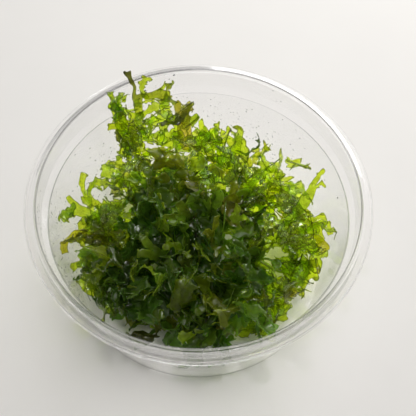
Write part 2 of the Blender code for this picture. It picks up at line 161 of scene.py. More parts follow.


# Colour, roughness and normal of wet thallus tissue, from its tint and its place across the blade. The
# colour at the margin is multiplied by the rim value: a painted highlight where it is above 1, and painted
# shade where it is below 1.
def makeLeafGroup():
    group = bpy.data.node_groups.new("wetLeaf", "ShaderNodeTree")
    wanted = {"Tint": "Color", "Across": "Float", "Rim": "Float", "Grain": "Float", "Relief": "Float"}
    results = {"Colour": "Color", "Roughness": "Float", "Normal": "Vector"}
    for way, sockets in (("INPUT", wanted), ("OUTPUT", results)):
        for name, kind in sockets.items():
            group.interface.new_socket(name, in_out=way, socket_type="NodeSocket" + kind)
    given = addNode(group, "NodeGroupInput").outputs
    patches = addRange(group, addNoise(group, **tissue["patches"]), *tissue["patchRange"])
    # Painted rim light and shade: the colour at the blade's margin is multiplied by the rim value
    paintedRimRange = (1, given["Rim"])
    rim = addRange(
        group, given["Across"], tissue["margin"], paintedRimRange, interpolation_type="SMOOTHSTEP"
    )
    shade = addMath(group, "MULTIPLY", patches, rim)
    colour = addMix(group, "RGBA", 1.0, given["Tint"], shade, blend_type="MULTIPLY")
    place = addNode(group, "ShaderNodeTexCoord").outputs["Object"]
    cells = addNode(group, "ShaderNodeTexVoronoi", feature="SMOOTH_F1", Vector=place, **tissue["cells"])
    wrinkles = addNoise(group, **tissue["wrinkles"])
    relief = addMix(group, "FLOAT", given["Grain"], wrinkles, cells.outputs["Distance"])
    roughPatches = addNoise(group, **tissue["roughPatches"])
    strength = addRange(group, roughPatches, tissue["roughRange"], (tissue["smoothest"], given["Relief"]))
    bump = addNode(
        group, "ShaderNodeBump", Distance=tissue["bumpDepth"], Strength=strength, Height=relief
    )
    gloss = addRange(group, wrinkles, (0, 1), tissue["gloss"])
    addNode(group, "NodeGroupOutput", Colour=colour, Roughness=gloss, Normal=bump.outputs["Normal"])
    return group


# Thallus tissue: part of the light goes straight through and is tinted, the rest is scattered
# forward and back, and a film of water gives it its gloss. A ray inside the sheet passes its far
# face freely, so that a sheet tints light once.
# The rim value paints the margin: a painted highlight above 1, painted shade below 1.
def makeLeaf(name, group, clear, translucent, rim, grain, relief):
    material, tree, shader = makeMaterial(name)
    tint = addNode(tree, "ShaderNodeAttribute", attribute_name="tint").outputs["Color"]
    across = addNode(tree, "ShaderNodeAttribute", attribute_name="across").outputs["Fac"]
    leaf = addNode(
        tree, "ShaderNodeGroup", node_tree=group,
        Tint=tint, Across=across, Rim=rim, Grain=grain, Relief=relief,
    ).outputs
    colour, normal = leaf["Colour"], leaf["Normal"]
    shader.inputs["Specular IOR Level"].default_value = 0.0
    shader.inputs["Roughness"].default_value = 0.6
    setInput(shader.inputs["Base Color"], colour)
    setInput(shader.inputs["Normal"], normal)
    through = addNode(tree, "ShaderNodeBsdfTranslucent", Color=colour, Normal=normal)
    seen = addNode(tree, "ShaderNodeBsdfTransparent", Color=colour)
    water = addNode(tree, "ShaderNodeBsdfGlossy", Roughness=leaf["Roughness"], Normal=normal)
    film = addNode(tree, "ShaderNodeFresnel", IOR=1.4, Normal=normal).outputs[0]
    free = addNode(tree, "ShaderNodeBsdfTransparent")
    inside = addNode(tree, "ShaderNodeNewGeometry").outputs["Backfacing"]
    scattered = mixShaders(tree, translucent, shader, through)
    body = mixShaders(tree, clear, scattered, seen)
    wet = mixShaders(tree, film, body, water)
    sheet = mixShaders(tree, inside, wet, free)
    setInput(tree.nodes["Material Output"].inputs["Surface"], sheet.outputs[0])
    return material


# Clear plastic or water. Light from the lamps passes through it, mist roughens it in patches, and its
# rounded edges carry painted shade, darker lines drawn into its colour. A share of the rays isn't bent, and
# such a ray leaves as it came in.
def makeClear(name, colour, clarity, ior, roughness, mist, thin, paintedCreaseShade):
    material, tree, shader = makeMaterial(name)
    shader.inputs["Base Color"].default_value = (*colour, 1)
    shader.inputs["Transmission Weight"].default_value = clarity
    shader.inputs["IOR"].default_value = ior
    shader.inputs["Roughness"].default_value = roughness
    if mist:
        haze = addRange(tree, addNoise(tree, **fog["patches"]), fog["range"], (roughness, mist))
        setInput(shader.inputs["Roughness"], haze)
    passing = addNode(tree, "ShaderNodeBsdfTransparent", Color=(*colour, 1))
    # The rounded edges along the mask are drawn darker: a painted shade line in the plastic's colour
    if paintedCreaseShade < 1:
        line = addNode(tree, "ShaderNodeAttribute", attribute_name="paintedCreaseShade").outputs["Fac"]
        dark = (*(part * paintedCreaseShade for part in colour), 1)
        shade = addMix(tree, "RGBA", line, (*colour, 1), dark)
        setInput(passing.inputs["Color"], shade)
        setInput(shader.inputs["Base Color"], shade)
    light = addNode(tree, "ShaderNodeLightPath").outputs
    inside = addNode(tree, "ShaderNodeNewGeometry").outputs["Backfacing"]
    unbent = addMath(tree, "SUBTRACT", 1.0, light["Is Transmission Ray"])
    share = addMix(tree, "FLOAT", inside, thin, unbent)
    passes = addMath(tree, "MAXIMUM", light["Is Shadow Ray"], share)
    mix = mixShaders(tree, passes, shader, passing)
    setInput(tree.nodes["Material Output"].inputs["Surface"], mix.outputs[0])
    return material


# A matt surface with a little unevenness in its colour and its relief.
def makePlain(name, colour, roughness, patchScale, relief):
    material, tree, shader = makeMaterial(name)
    spots = addNoise(tree, Scale=patchScale, Detail=matt["detail"])
    dark = (*(matt["darkest"] * part for part in colour), 1)
    bump = addNode(tree, "ShaderNodeBump", Strength=relief, Distance=matt["bumpDepth"], Height=spots)
    shader.inputs["Roughness"].default_value = roughness
    setInput(shader.inputs["Base Color"], addMix(tree, "RGBA", spots, dark, (*colour, 1)))
    setInput(shader.inputs["Normal"], bump.outputs["Normal"])
    return material


leafGroup = makeLeafGroup()
# Old thalli have a painted highlight along their margins, and new thalli have a painted shade line.
oldThallus = makeLeaf("old_thallus", leafGroup, clear=0.62, translucent=0.6, rim=1.3, grain=0.4, relief=1.0)
newThallus = makeLeaf("new_thallus", leafGroup, clear=0.85, translucent=0.6, rim=0.5, grain=0.25, relief=0.5)
# The plastic's rounded edges get painted shade lines at 0.6 of its colour
clearPlastic = makeClear(
    "clear_plastic", finish["plastic"], 0.96, ior=1.45, roughness=0.03, mist=0.14, thin=0.5, paintedCreaseShade=0.6
)
clearWater = makeClear(
    "clear_water", (1.0, 1.0, 1.0), 1.0, ior=1.33, roughness=0.0, mist=0, thin=0.0, paintedCreaseShade=1.0
)
crumbDark = makePlain("dark_crumb", finish["crumb"], roughness=0.6, patchScale=2000, relief=0.5)
print("materials made")


# The cup

cup = {
    "lipDrop": 3.6 * mm,
    "lipTopWidth": 1.4 * mm,
    "lipSlope": 1.9 * mm,
    "lipRounding": 0.35 * mm,
    "mouthRadius": 46.4 * mm,
    "mouthDraft": 0.8 * mm,
    "ledgeRadius": 43.7 * mm,
    "ledgeHeight": 31.8 * mm,
    "ledgeRise": 1.7 * mm,
    "ledgeRounding": 0.8 * mm,
    "footRadius": 38.4 * mm,
    "footWidth": 3.6 * mm,
    "footHeight": 0.8 * mm,
    "footDraft": 0.9 * mm,
    "wall": 0.8 * mm,
    "floorStep": 0.6 * mm,
    "channelHeight": 0.9 * mm,
    "channelRadius": 37.6 * mm,
    "channelRounding": 1.0 * mm,
    "edgeRounding": 0.12 * mm,
    "guard": 0.12 * mm,
    # How dark the painted shade lines are along the mouth, the lip and the ledge
    "paintedCreaseShades": {"mouth": 1.0, "lip": 0.6, "ledge": 0.6},
    "turns": 192,
    "arcSteps": 4,
}
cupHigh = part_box("cup")[1]
cupHeight = cupHigh.z
lipRadius = cupHigh.x
floorTop = cup["footHeight"] + cup["wall"]


# The path through (radius, height, rounding) corners, each corner an arc of its own radius between two guard
# points that keep its shading and its painted shade line off the flats.
def roundedPath(path):
    points = []
    for i, (radius, height, rounding, *paintedCreaseShade) in enumerate(path):
        here = Vector((radius, height))
        if rounding == 0:
            points.append((here, 0))
            continue
        before = (Vector(path[i - 1][:2]) - here).normalized()
        after = (Vector(path[i + 1][:2]) - here).normalized()
        halfTurn = before.angle(after) / 2
        centre = here + (before + after).normalized() * rounding / math.sin(halfTurn)
        reach = rounding / math.tan(halfTurn)
        start = here + before * reach - centre
        end = here + after * reach - centre
        points.append((here + before * (reach + cup["guard"]), 0))
        for k in range(cup["arcSteps"] + 1):
            arc = start.lerp(end, k / cup["arcSteps"]).normalized() * rounding
            points.append((centre + arc, sum(paintedCreaseShade)))
        points.append((here + after * (reach + cup["guard"]), 0))
    return points


# The cup's section, from the middle of its floor up the inside and down the outside to its foot.
def cupSection():
    wall, edge = cup["wall"], cup["edgeRounding"]
    footInside = cup["footRadius"] - cup["footWidth"]
    lipFoot = cupHeight - cup["lipDrop"]
    mouth, ledge, ledgeTop = cup["mouthRadius"], cup["ledgeRadius"], cup["ledgeHeight"]
    paintedCreaseShades = cup["paintedCreaseShades"]
    return [
        (0, floorTop, 0),
        (footInside - wall, floorTop, edge),
        (footInside + cup["floorStep"], cup["channelHeight"], edge),
        (cup["channelRadius"], cup["channelHeight"], cup["channelRounding"]),
        (ledge, ledgeTop, edge, paintedCreaseShades["ledge"]),
        (mouth - cup["mouthDraft"], ledgeTop + cup["ledgeRise"], cup["ledgeRounding"]),
        (mouth, cupHeight, cup["lipRounding"], paintedCreaseShades["mouth"]),
        (mouth + cup["lipTopWidth"], cupHeight, cup["lipRounding"]),
        (lipRadius, cupHeight - cup["lipSlope"], cup["lipRounding"], paintedCreaseShades["lip"]),
        (lipRadius, lipFoot, edge),
        (lipRadius - wall, lipFoot, edge),
        (lipRadius - wall, lipFoot + cup["lipSlope"] / 2, edge),
        (mouth + wall, lipFoot + cup["lipSlope"], edge),
        (mouth, ledgeTop + cup["ledgeRise"] / 2, edge),
        (ledge + wall, ledgeTop - cup["ledgeRise"] / 2, edge),
        (cup["footRadius"] + cup["footDraft"], cup["channelHeight"], edge),
        (cup["footRadius"], 0, edge),
        (footInside, 0, edge),
        (footInside - wall, cup["footHeight"], edge),
        (0, cup["footHeight"], 0),
    ]


def makeCup():
    shape = bmesh.new()
    # A mask of the painted shade lines along the mouth, the lip and the ledge
    layer = shape.verts.layers.float.new("paintedCreaseShade")
    ring = []
    for point, paintedCreaseShade in roundedPath(cupSection()):
        ring.append(shape.verts.new((point.x, 0, point.y)))
        ring[-1][layer] = paintedCreaseShade
    edges = [shape.edges.new(pair) for pair in zip(ring, ring[1:])]
    bmesh.ops.spin(
        shape, geom=ring + edges, cent=(0, 0, 0), axis=(0, 0, 1), dvec=(0, 0, 0),
        angle=2 * math.pi, steps=cup["turns"], use_merge=True, use_duplicate=False,
    )
    bmesh.ops.remove_doubles(shape, verts=shape.verts, dist=0.001 * mm)
    bmesh.ops.recalc_face_normals(shape, faces=shape.faces)
    for face in shape.faces:
        face.smooth = True
    piece = finishPiece("clear_cup", shape, [clearPlastic], ["cup"])
    piece.data.set_sharp_from_angle(angle=math.radians(40))
    return piece


# The radius of the cup's inside at a height.
def wallRadius(height):
    ledgeTop = cup["ledgeHeight"] + cup["ledgeRise"]
    aboveLedge = cup["mouthRadius"] - cup["mouthDraft"]
    if height > ledgeTop:
        share = min((height - ledgeTop) / (cupHeight - ledgeTop), 1)
        return aboveLedge + cup["mouthDraft"] * share
    if height > cup["ledgeHeight"]:
        share = (height - cup["ledgeHeight"]) / cup["ledgeRise"]
        return cup["ledgeRadius"] + (aboveLedge - cup["ledgeRadius"]) * share
    share = max(height - cup["channelHeight"], 0) / (cup["ledgeHeight"] - cup["channelHeight"])
    return cup["channelRadius"] + (cup["ledgeRadius"] - cup["channelRadius"]) * share


# The point, moved just clear of the cup's wall and floor where it would be in them.
def keepInCup(point, room):
    point.z = max(point.z, floorTop + room)
    if point.z < cupHeight + room:
        far = math.hypot(point.x, point.y)
        limit = wallRadius(point.z) - room
        if far > limit:
            point.x *= limit / far
            point.y *= limit / far
    return point


makeCup()
print("cup made")


# Mist, crumbs and a loose root hair inside the cup

mist = {
    "count": 1300,
    "radii": (0.10 * mm, 0.34 * mm),
    "flatness": 0.45,
    "heights": (4 * mm, 38 * mm),
    "patchScale": 30,
    "patchLevel": 0.05,
    "patchChance": 0.15,
    # No droplets this near to the middle of the ledge
    "ledgeRoom": 1.4 * mm,
}
crumbs = {
    # Bearing in degrees from the right, height in mm and size in mm
    "places": [(122, 34, 1.0), (112, 38, 0.7), (113, 34.5, 0.9), (103, 37, 0.5), (101, 38.5, 0.7),
               (152, 30, 0.5), (158, 27, 0.4), (44, 28, 0.5), (40, 26, 0.4), (24, 24, 0.4), (12, 27, 0.6)],
    "squash": 0.4,
    "inset": 0.1 * mm,
    "lumpScale": 3000,
    "lumps": 0.7,
}
rootHair = {
    # From the edge of the tangle down to the foot of the cup's wall, in mm
    "route": [(-32, -4, 12.5), (-33.6, -7, 10.5), (-35.2, -10, 8), (-34.8, -13, 5.5), (-33.0, -16, 3.2)],
    "radius": 0.09 * mm,
}


# A point on the inside of the cup's wall, and the way out of the wall there.
def wallPlace(bearing, height, inset):
    radius = wallRadius(height) - inset
    inward = Vector((-math.cos(bearing), -math.sin(bearing), 0))
    return Vector((radius * math.cos(bearing), radius * math.sin(bearing), height)), inward


# Adds one flattened drop of water, thin in one direction.
def addDrop(shape, place, way, size, flatness):
    turn = way.to_track_quat("Z", "Y").to_matrix().to_4x4()
    flat = Matrix.Diagonal((size, size, size * flatness, 1))
    bmesh.ops.create_icosphere(
        shape, subdivisions=1, radius=1, matrix=Matrix.Translation(place) @ turn @ flat
    )


def finishDrops(name, shape):
    for face in shape.faces:
        face.smooth = True
    finishPiece(name, shape, [clearWater])


def makeMist():
    shape = bmesh.new()
    draw = random.Random(11)
    made = 0
    while made < mist["count"]:
        bearing = draw.uniform(0, 2 * math.pi)
        height = draw.uniform(*mist["heights"])
        place, inward = wallPlace(bearing, height, 0)
        chance = draw.uniform(-mist["patchChance"], mist["patchChance"])
        if noise.noise(place * mist["patchScale"]) < mist["patchLevel"] + chance:
            continue
        if abs(height - cup["ledgeHeight"] - cup["ledgeRise"] / 2) < mist["ledgeRoom"]:
            continue
        made += 1
        size = draw.uniform(*mist["radii"]) ** 2 / mist["radii"][1]
        addDrop(shape, place, inward, size, mist["flatness"])
    finishDrops("mist_droplets", shape)


def makeCrumbs():
    shape = bmesh.new()
    for i, (bearing, height, size) in enumerate(crumbs["places"]):
        place, inward = wallPlace(math.radians(bearing), height * mm, crumbs["inset"])
        turn = inward.to_track_quat("Z", "Y").to_matrix().to_4x4()
        spin = Matrix.Rotation(i * goldenAngle, 4, "Z")
        lump = Matrix.Diagonal((size / 2 * mm, size / 3 * mm, size / 2 * mm * crumbs["squash"], 1))
        made = bmesh.ops.create_icosphere(
            shape, subdivisions=2, radius=1, matrix=Matrix.Translation(place) @ turn @ spin @ lump
        )
        for vert in made["verts"]:
            vert.co += (vert.co - place) * noise.noise(vert.co * crumbs["lumpScale"]) * crumbs["lumps"]
    finishPiece("dark_crumbs", shape, [crumbDark])


def makeRootHair():
    curve = bpy.data.curves.new("root_hair", "CURVE")
    curve.dimensions = "3D"
    curve.bevel_depth = rootHair["radius"]
    curve.bevel_resolution = 1
    curve.resolution_u = 6
    curve.use_fill_caps = True
    spline = curve.splines.new("NURBS")
    spline.points.add(len(rootHair["route"]) - 1)
    for point, place in zip(spline.points, rootHair["route"]):
        point.co = (*(part * mm for part in place), 1)
    spline.use_endpoint_u = True
    curve.materials.append(crumbDark)
    hair = bpy.data.objects.new("root_hair", curve)
    bpy.context.scene.collection.objects.link(hair)
    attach(hair, "root")


makeMist()
makeCrumbs()
makeRootHair()
print("mist, crumbs and root hair made")


# The thalli

# Flat outlines: faces across, rows and their length in mm, width at the root and at the widest,
# rows and spread of the two arms that it forks into, and how many copies are drawn.
outlines = {
    "fan": {"across": 6, "rows": 7, "row": 0.8, "widths": (1.6, 6.2),
            "arms": 4, "spread": 24, "copies": 8},
    "ribbon": {"across": 4, "rows": 10, "row": 0.85, "widths": (1.6, 3.6),
               "arms": 4, "spread": 34, "copies": 8},
    "frill": {"across": 4, "rows": 5, "row": 0.8, "widths": (1.2, 3.8),
              "arms": 0, "spread": 0, "copies": 6},
    "strap": {"across": 2, "rows": 9, "row": 1.1, "widths": (1.0, 1.8),
              "arms": 3, "spread": 38, "copies": 6},
    "stem": {"across": 2, "rows": 8, "row": 1.5, "widths": (0.5, 0.6),
             "arms": 2, "spread": 45, "copies": 4},
}
growth = {
    "scallop": 0.4,
    "scallopRows": (2.4, 4.0),
    # How far a blade turns from row to row, and how far a vert is off its row, in rows
    "sway": 0.2,
    "wander": 0.15,
    "tipBulge": 0.35,
    # Shares of a blade's length where it is widest and where its round tip begins
    "shoulder": 0.6,
    "tip": 0.7,
    "tipLoss": 0.5,
    "bladeWidths": (0.75, 1.15),
    "armTurns": (0.7, 1.25),
    "armWidth": 0.72,
    "armWidths": (0.8, 1.2),
    "armStep": 0.9,
    "lobeShare": 0.2,
    "lobeReach": (0.4 * mm, 0.9 * mm),
    "lobeSpread": 1.05,
}


# Where an edge or face comes in the order of its verts.
def orderOf(item):
    lowest = sorted(vert.index for vert in item.verts)[:3]
    return sum(index * 1e5**-k for k, index in enumerate(lowest))


# Sorts edges and faces by their verts, because an extrude makes them in another order on each run.
def putInOrder(shape):
    shape.verts.index_update()
    for items in (shape.edges, shape.faces):
        items.sort(key=orderOf)
        items.index_update()


# Extrudes a row of verts once, and returns the new row in the same order.
def nextRow(shape, row):
    edges = [shape.edges.get(pair) for pair in zip(row, row[1:])]
    made = bmesh.ops.extrude_edge_only(shape, edges=edges)["geom"]
    new = {item for item in made if isinstance(item, bmesh.types.BMVert)}
    return [next(e.other_vert(v) for e in v.link_edges if e.other_vert(v) in new) for v in row]


# The width of a blade at a share of its length: wider soon after the root, and round at the tip.
def bladeWidth(narrow, wide, share):
    tip = max(share - growth["tip"], 0) / (1 - growth["tip"])
    width = narrow + (wide - narrow) * smoothStep(0, growth["shoulder"], share)
    return width * math.sqrt(1 - growth["tipLoss"] * tip * tip)


# Lays rows one after another with scalloped margins, and returns the last row and its heading.
def growRows(shape, row, place, heading, step, widths, draw):
    beat = 2 * math.pi / draw.uniform(*growth["scallopRows"])
    phases = [draw.uniform(0, 2 * math.pi) for _ in range(2)]
    for k, width in enumerate(widths):
        row = nextRow(shape, row)
        heading += draw.uniform(-growth["sway"], growth["sway"])
        ahead = Vector((math.sin(heading), math.cos(heading), 0))
        aside = Vector((math.cos(heading), -math.sin(heading), 0))
        place = place + ahead * step
        for i, vert in enumerate(row):
            share = i / (len(row) - 1) * 2 - 1
            wave = 1 + math.sin(k * beat + phases[share > 0]) * growth["scallop"] * share**2
            wander = draw.uniform(-growth["wander"], growth["wander"])
            if k == len(widths) - 1:
                wander += growth["tipBulge"] * (1 - share**2)
            vert.co = place + aside * width / 2 * share * wave + ahead * step * wander
    return row, heading


# Draws some margin edges of a sheet out into small round lobes.
def addLobes(shape, draw, share, reach):
    putInOrder(shape)
    rim = [edge for edge in shape.edges if edge.is_boundary]
    for edge in draw.sample(rim, int(len(rim) * share)):
        middle = (edge.verts[0].co + edge.verts[1].co) / 2
        out = (middle - edge.link_faces[0].calc_center_median()).normalized()
        length = draw.uniform(*reach)
        made = bmesh.ops.extrude_edge_only(shape, edges=[edge])["geom"]
        for vert in (item for item in made if isinstance(item, bmesh.types.BMVert)):
            vert.co = middle + (vert.co - middle) * growth["lobeSpread"] + out * length


# A flat thallus that grows from the origin along +Y, with its place across stored on each vert.
def makeOutline(kind, seed):
    outline = outlines[kind]
    draw = random.Random(f"{kind} {seed}")
    shape = bmesh.new()
    narrow, wide = (width * mm for width in outline["widths"])
    across, rows, step = outline["across"], outline["rows"], outline["row"] * mm
    row = [shape.verts.new(((i / across - 0.5) * narrow, 0, 0)) for i in range(across + 1)]
    for pair in zip(row, row[1:]):
        shape.edges.new(pair)
    wide *= draw.uniform(*growth["bladeWidths"])
    reach = rows + outline["arms"]
    widths = [bladeWidth(narrow, wide, (k + 1) / reach) for k in range(rows)]
    row, heading = growRows(shape, row, Vector((0, 0, 0)), 0.0, step, widths, draw)
    if outline["arms"]:
        half = len(row) // 2
        for verts, side in ((row[: half + len(row) % 2], -1), (row[half:], 1)):
            turn = heading + side * math.radians(outline["spread"]) * draw.uniform(*growth["armTurns"])
            start = (verts[0].co + verts[-1].co) / 2
            count = max(outline["arms"] + draw.randint(-1, 1), 1)
            arm = widths[-1] * growth["armWidth"] * draw.uniform(*growth["armWidths"])
            armWidths = [bladeWidth(arm, arm, (k + 1) / count) for k in range(count)]
            growRows(shape, verts, start, turn, step * growth["armStep"], armWidths, draw)
    addLobes(shape, draw, growth["lobeShare"], growth["lobeReach"])
    putInOrder(shape)
    # The across mask marks the margin, which gets the painted rim highlight of old thalli and the painted
    # rim shade of new ones
    layer = shape.verts.layers.float.new("across")
    for vert in shape.verts:
        vert[layer] = 1.0 if vert.is_boundary else 0.0
    mesh = bpy.data.meshes.new(f"outline_{kind}_{seed}")
    shape.to_mesh(mesh)
    length = max(vert.co.y for vert in shape.verts)
    shape.free()
    return mesh, length


library = {
    kind: [makeOutline(kind, seed) for seed in range(outline["copies"])]
    for kind, outline in outlines.items()
}

tangle = {
    # Thalli for each square mm of a tuft's surface, in the heart and in the fringe
    "density": (0.13, 0.075),
    "spacing": {"old": 1.5 * mm, "new": 3.5 * mm},
    "airy": {"tuft_front_left": 1.3, "tuft_front_right": 1.2},
    "depths": {"old": (0.3 * mm, 5.0 * mm), "new": (0.0 * mm, 3.0 * mm)},
    "rootShare": {"old": (0.5, 0.9), "new": (0.3, 0.8)},
    # How far another tuft may be in front of a place for that place to be shut in, and how many
    # thalli are left there
    "shutReach": (6 * mm, 14 * mm),
    "shutShare": 0.1,
    "lift": 0.3 * mm,
    # Places under this height and this slope are hidden
    "lowest": 2 * mm,
    "steepest": -0.5,
    "sizes": {"old": (0.7, 1.5), "new": (0.75, 1.3)},
    # Few thalli of the fringe lie under the mound, so that light comes in under it
    "lowShare": 0.2,
    "underSlope": 0.3,
    "deepest": 1.0 * mm,
    "frameStep": 0.5 * mm,
    "bends": (-100, 100),
    "turns": (-80, 80),
    "twists": (-90, 90),
    "cupping": (-70, 80),
    "ripple": 0.7 * mm,
    "rippleScale": 330,
    # How far from the middle of a blade its ripples and ruffles are full
    "margin": 1.6 * mm,
    "calmMiddle": 0.4,
    # Where along a thallus its tip's colour begins
    "tipColour": 0.3,
    "ruffle": (0.3 * mm, 1.0 * mm),
    "ruffleLength": (2.8 * mm, 4.5 * mm),
    "thickness": 0.16 * mm,
    "wallRoom": 0.5 * mm,
    # How far faces turn to the light and to the outside, and how much is left to chance
    "faceUp": 0.85,
    "faceOut": 0.4,
    "faceChance": 0.5,
    "headOut": 0.9,
    "headChance": 0.9,
    "kinds": {"old": {"fan": 0.42, "ribbon": 0.3, "frill": 0.18, "strap": 0.07, "stem": 0.03},
              "new": {"fan": 0.36, "ribbon": 0.36, "frill": 0.22, "strap": 0.05, "stem": 0.01}},
    "crinkle": 2.2 * mm,
    "crinkleSize": 3.2 * mm,
    # Tries for thalli low on a tuft's sides, which hang down to the cup's floor
    "feet": 16,
    "footHeight": 8 * mm,
    "footSizes": (0.6, 1.0),
    "footSlope": 0.8,
    "footKinds": ["fan", "ribbon", "ribbon", "frill"],
    "footOut": 0.5,
    "footChance": (0.4, 0.5),
}
mound = {
    # The dark heart of the mound, and the shares of its reach between which the bright fringe begins
    "heart": Vector((-4, -8, 12)) * mm,
    "reach": Vector((26, 35, 26)) * mm,
    "squareness": 2.5,
    "fringe": (0.76, 1.0),
    "fringeNoise": (120, 0.3),
    "newFrom": 0.45,
    # How much darker or lighter than usual a thallus is
    "shades": {"old": (0.4, 1.3), "new": (0.8, 1.2)},
    # How many thalli in the heart are bright young ones
    "young": 0.07,
    "levelSpread": 0.16,
    # The shares that are olive or yellow in the heart, how many more in the fringe, and brown ones
    "odd": (0.10, 0.08),
    "oddMix": (0.3, 0.8),
    "brown": 0.03,
    "brownMix": 0.6,
}


# 0 in the dark heart of the mound and 1 in its bright fringe.
def newness(point):
    power = mound["squareness"]
    away = sum(abs((p - h) / r) ** power for p, h, r in zip(point, mound["heart"], mound["reach"]))
    scale, amount = mound["fringeNoise"]
    return smoothStep(*mound["fringe"], away ** (1 / power) + noise.noise(point * scale) * amount)


def ageOf(new):
    return "new" if new > mound["newFrom"] else "old"


# The colour of one thallus: dark green in the heart, lime in the fringe, now and then olive or yellow.
def pickTint(point, draw):
    new = newness(point)
    dark, mid, lime = (Vector(finish[name]) for name in ("darkGreen", "midGreen", "lime"))
    level = min(max(new + draw.gauss(0, mound["levelSpread"]), 0), 1)
    tint = dark.lerp(mid, level * 2) if level < 0.5 else mid.lerp(lime, level * 2 - 1)
    if draw.random() < mound["young"]:
        tint = mid.lerp(lime, draw.random())
    tint = tint * draw.uniform(*mound["shades"][ageOf(new)])
    odd = draw.random()
    share, more = mound["odd"]
    if odd < share + more * new:
        oddTint = Vector(finish["olive"]).lerp(Vector(finish["yellow"]), new)
        tint = tint.lerp(oddTint, draw.uniform(*mound["oddMix"]))
    elif odd > 1 - mound["brown"]:
        tint = tint.lerp(Vector(finish["brown"]), mound["brownMix"])
    return tint, new


# Places along a thallus, each with its heading, its side and the way its face looks.
def ribbonFrames(start, heading, facing, length, bend, turn, twist):
    frames = []
    step = tangle["frameStep"]
    for _ in range(int(length / step) + 2):
        side = heading.cross(facing).normalized()
        facing = side.cross(heading).normalized()
        frames.append((start.copy(), heading.copy(), side, facing.copy()))
        start = keepInCup(start + heading * step, tangle["wallRoom"])
        swing = Quaternion(side, bend * step) @ Quaternion(facing, turn * step)
        swing = swing @ Quaternion(heading, twist * step)
        heading.rotate(swing)
        facing.rotate(swing)
    return frames


# Copies a flat outline into the tangle and lays it along the frames, ruffled at its margins.
def addThallus(shape, outline, frames, size, draw, tint, tip, slotIndex):
    mesh, length = outline
    tintLayer = shape.verts.layers.float_color["tint"]
    vertsBefore, facesBefore = len(shape.verts), len(shape.faces)
    shape.from_mesh(mesh)
    shape.verts.ensure_lookup_table()
    shape.faces.ensure_lookup_table()
    step = tangle["frameStep"]
    seed = draw.random() * 9
    cupping = draw.uniform(*tangle["cupping"])
    ruffle = draw.uniform(*tangle["ruffle"])
    beat = 2 * math.pi / draw.uniform(*tangle["ruffleLength"])
    phases = [draw.uniform(0, 2 * math.pi) for _ in range(2)]
    for vert in shape.verts[vertsBefore:]:
        aside, along = vert.co.x * size, vert.co.y * size
        place, heading, side, facing = frames[min(int(along / step), len(frames) - 1)]
        spot = Vector((aside, along, seed)) * tangle["rippleScale"]
        edge = min(abs(aside) / tangle["margin"], 1)
        lift = noise.noise(spot) * tangle["ripple"] * (tangle["calmMiddle"] + edge) + cupping * aside * aside
        lift += math.sin(along * beat + phases[aside > 0]) * ruffle * edge * edge
        past = along - int(along / step) * step
        vert.co = keepInCup(place + heading * past + side * aside + facing * lift, tangle["wallRoom"])
        share = smoothStep(tangle["tipColour"], 1.0, along / (length * size))
        vert[tintLayer] = (*tint.lerp(tip, share), 1)
    for face in shape.faces[facesBefore:]:
        face.material_index = slotIndex
        face.smooth = True


def treeOf(node):
    shape = bmesh.new()
    shape.from_mesh(node.data)
    tree = BVHTree.FromBMesh(shape)
    shape.free()
    return tree


# Whether no other tuft lies close in front of a place on a tuft's surface.
def isOpen(point, normal, others):
    start = point + normal * tangle["lift"]
    ways = (normal, (normal + Vector((0, 0, 1))).normalized())
    for way, reach in zip(ways, tangle["shutReach"]):
        if any(tree.ray_cast(start, way, reach)[0] for tree in others):
            return False
    return True


# Points spread over the open surface of a tuft, with the surface's normals there.
def surfacePoints(node, others, count, draw):
    mesh = node.data
    mesh.calc_loop_triangles()
    triangles = list(mesh.loop_triangles)
    weights = [triangle.area for triangle in triangles]
    points = []
    for triangle in draw.choices(triangles, weights=weights, k=count):
        a, b, c = (mesh.vertices[i].co for i in triangle.vertices)
        u, v = sorted((draw.random(), draw.random()))
        point = a * u + b * (v - u) + c * (1 - v)
        normal = triangle.normal.copy()
        hidden = point.z < floorTop + tangle["lowest"] or normal.z < tangle["steepest"]
        if (hidden or not isOpen(point, normal, others)) and draw.random() > tangle["shutShare"]:
            continue
        points.append((point, normal))
    return points


def anyWay(draw):
    return Vector((draw.gauss(0, 1), draw.gauss(0, 1), draw.gauss(0, 1))).normalized()


# A heading turned square to the way that a thallus faces.
def squareTo(facing, heading):
    return (heading - facing * heading.dot(facing)).normalized()


# How a thallus sets out: its heading, and the way its face looks, which is mostly up to the light.
def leanOut(normal, draw):
    up = Vector((0, 0, 1))
    facing = up * tangle["faceUp"] + normal * tangle["faceOut"] + anyWay(draw) * tangle["faceChance"]
    facing.normalize()
    heading = normal * tangle["headOut"] + anyWay(draw) * tangle["headChance"]
    return squareTo(facing, heading), facing


def startTangle():
    shape = bmesh.new()
    shape.verts.layers.float.new("across")
    shape.verts.layers.float_color.new("tint")
    return shape


crinkles = bpy.data.textures.new("crinkles", "CLOUDS")
crinkles.cloud_type = "COLOR"
crinkles.noise_scale = tangle["crinkleSize"]
crinkles.noise_depth = 1


# Makes a piece of thin sheets in place of a solid: rounds them, crinkles them and makes them thick.
def finishSheet(name, shape, solid, values):
    piece = finishPiece(name, shape, [oldThallus, newThallus], [solid])
    smooth = piece.modifiers.new("Subdivision", "SUBSURF")
    smooth.levels = 1
    smooth.render_levels = 1
    wave = piece.modifiers.new("Crinkle", "DISPLACE")
    wave.texture = crinkles
    wave.texture_coords = "LOCAL"
    wave.direction = "RGB_TO_XYZ"
    wave.strength = values["crinkle"]
    sheet = piece.modifiers.new("Solidify", "SOLIDIFY")
    sheet.thickness = values["thickness"]
    sheet.offset = 0
    return piece


# The frames of a thallus with curls of its own.
def curledFrames(start, heading, facing, length, draw):
    curls = [math.radians(draw.uniform(*tangle[key])) / (10 * mm) for key in ("bends", "turns", "twists")]
    return ribbonFrames(start, heading, facing, length, *curls)


